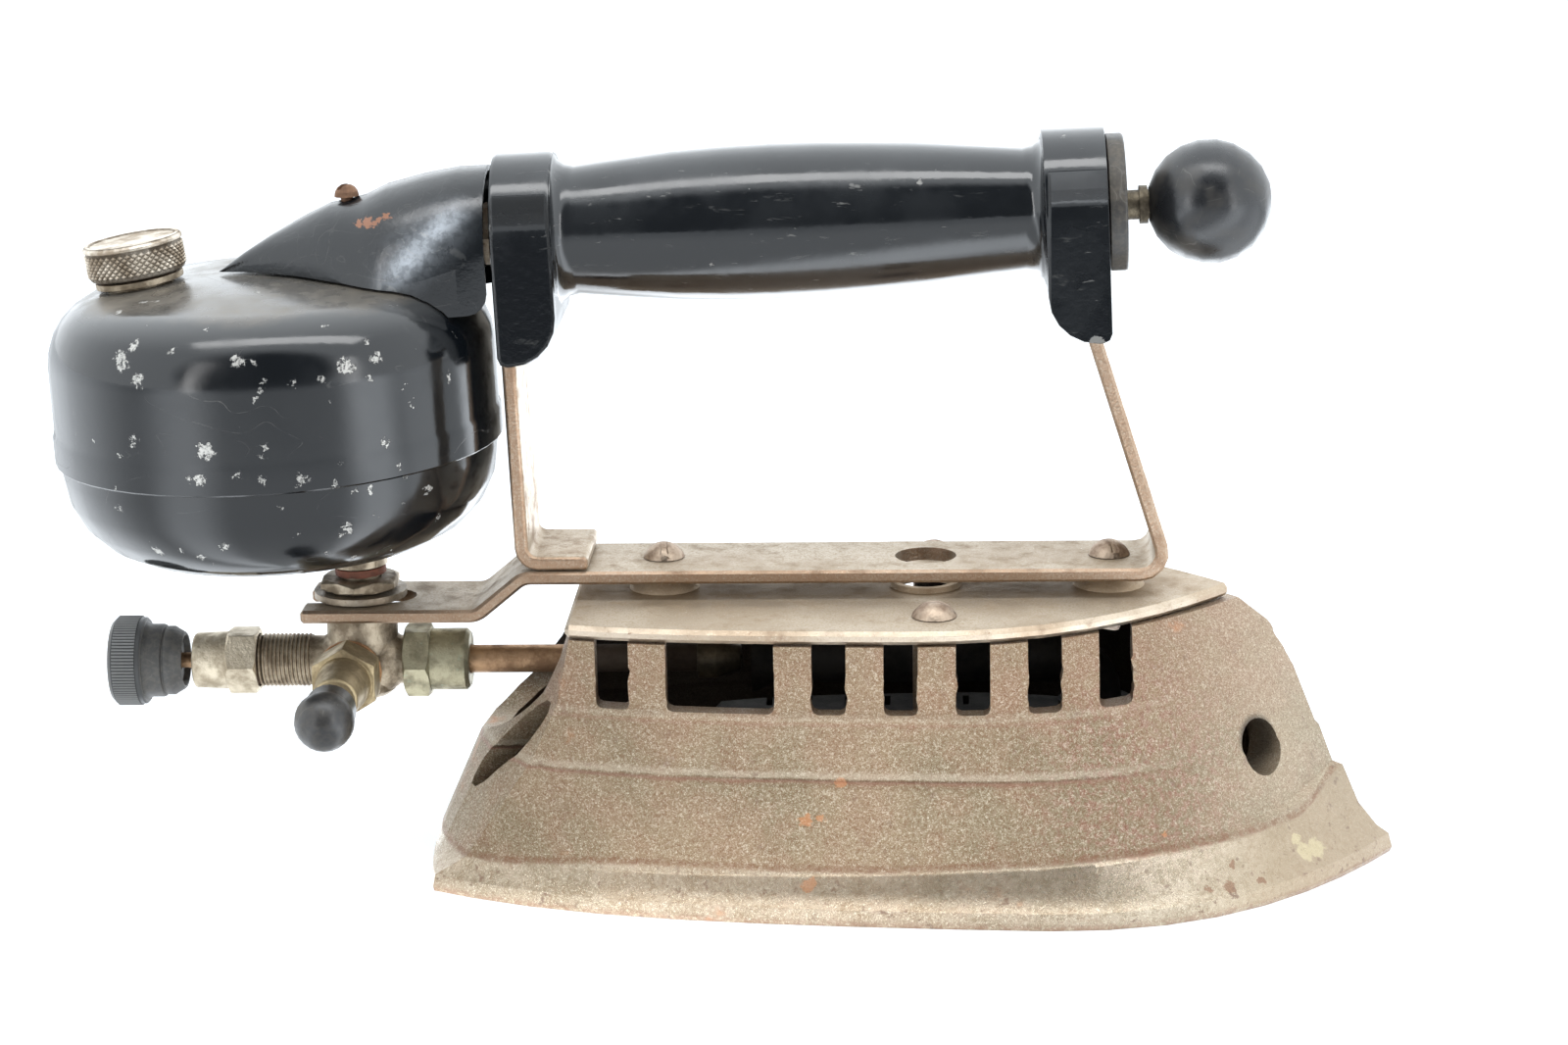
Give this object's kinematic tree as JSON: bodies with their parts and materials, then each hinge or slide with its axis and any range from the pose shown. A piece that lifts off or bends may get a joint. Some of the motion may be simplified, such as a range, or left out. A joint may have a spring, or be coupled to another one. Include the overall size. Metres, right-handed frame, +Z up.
{
  "type": "liquid-fuel iron",
  "caption": "Self-heating liquid-fuel clothes iron with a cast base, a strap frame, a rear tank, a needle valve and a handle that holds the air pump.",
  "frame": {"origin": "on the flat of the sole, in its middle plane, straight below the round hole in the strap", "axes": "+X towards the nose of the sole, +Z up and away from the sole, +Y to the left of someone looking along +X"},
  "size_m": [0.2831, 0.0986, 0.1573],
  "materials": {
    "worn_nickel_casting": "worn nickel over a pebbled casting, polished pale along the lip",
    "worn_nickel_sheet": "worn nickel plate with rust speckle",
    "rusty_steel": "plain steel with light rust",
    "black_enamel": "glossy black enamel, chipped and scratched",
    "black_phenolic": "black moulded phenolic, slightly dulled",
    "black_lacquer": "turned wood under glossy black lacquer",
    "old_brass": "tarnished brass",
    "green_brass": "brass with green tarnish",
    "brown_copper": "heat-browned copper alloy",
    "bright_copper": "soft copper",
    "red_fibre": "red fibre gasket",
    "leather": "oiled leather",
    "burnt_iron": "sooty cast iron"
  },
  "bodies": {
    "iron": {"base_casting": "worn_nickel_casting", "cover_plate": "worn_nickel_sheet", "cover_screw_near": "worn_nickel_sheet", "cover_screw_far": "worn_nickel_sheet", "strap": "worn_nickel_sheet", "strap_screw_rear": "worn_nickel_sheet", "strap_screw_front": "worn_nickel_sheet", "outlet_washer": "worn_nickel_sheet", "rear_leg": "rusty_steel", "strap_nut_rear": "rusty_steel", "strap_nut_front": "rusty_steel", "barrel_nut": "rusty_steel", "hood_screw": "rusty_steel", "tank_lower_shell": "black_enamel", "tank_upper_shell": "black_enamel", "hood": "black_enamel", "end_plate": "black_phenolic", "handle_grip": "black_lacquer", "gas_tip": "old_brass", "valve_body": "old_brass", "packing_nut": "old_brass", "side_bonnet": "old_brass", "lock_nut": "old_brass", "outlet_bush": "old_brass", "filler_neck": "old_brass", "air_elbow": "old_brass", "check_valve": "old_brass", "pump_barrel": "old_brass", "coupling_nut": "green_brass", "generator_tube": "brown_copper", "bonnet_gasket": "bright_copper", "outlet_gasket": "red_fibre", "stem_packing": "leather", "burner": "burnt_iron", "mixing_tube": "burnt_iron"},
    "pump": {"pump_rod": "rusty_steel", "knob_collar": "old_brass", "pump_knob": "black_lacquer", "piston_nut": "old_brass", "piston_washer": "old_brass", "piston_cup": "leather"},
    "main_spindle": {"valve_stem": "brown_copper", "valve_knob": "black_phenolic"},
    "side_spindle": {"side_stem": "brown_copper", "side_knob": "black_phenolic"},
    "filler_seal": {"filler_gasket": "red_fibre"},
    "filler_top": {"filler_cap": "old_brass"},
    "valve_ball": {"check_ball": "worn_nickel_sheet"}
  },
  "joints": [
    {"name": "pump_slide", "type": "slide", "parent": "iron", "child": "pump", "axis": [0.9994, 0, 0.0349], "range_m": [0, 0.085]},
    {"name": "main_valve_turn", "type": "hinge", "parent": "iron", "child": "main_spindle", "pos_m": [-0.1589, 0, 0.0442], "axis": [-1, 0, 0], "range_deg": [0, 540]},
    {"name": "side_valve_turn", "type": "hinge", "parent": "iron", "child": "side_spindle", "pos_m": [-0.1222, -0.044, 0.0442], "axis": [0, -1, 0], "range_deg": [0, 360]},
    {"name": "filler_lift", "type": "slide", "parent": "iron", "child": "filler_seal", "axis": [-0.1455, 0, 0.9894], "range_m": [0, 0.0061]},
    {"name": "filler_turn", "type": "hinge", "parent": "filler_seal", "child": "filler_top", "pos_m": [-0.16412, 0, 0.12844], "axis": [-0.1455, 0, 0.9894], "range_deg": [0, 1440]},
    {"name": "check_ball_lift", "type": "slide", "parent": "iron", "child": "valve_ball", "axis": [-0.9994, 0, -0.0349], "range_m": [0, 0.0008]}
  ],
  "couplings": [
    {"joint": "filler_lift", "follows": "filler_turn", "m_per_rad": 0.00023873}
  ]
}
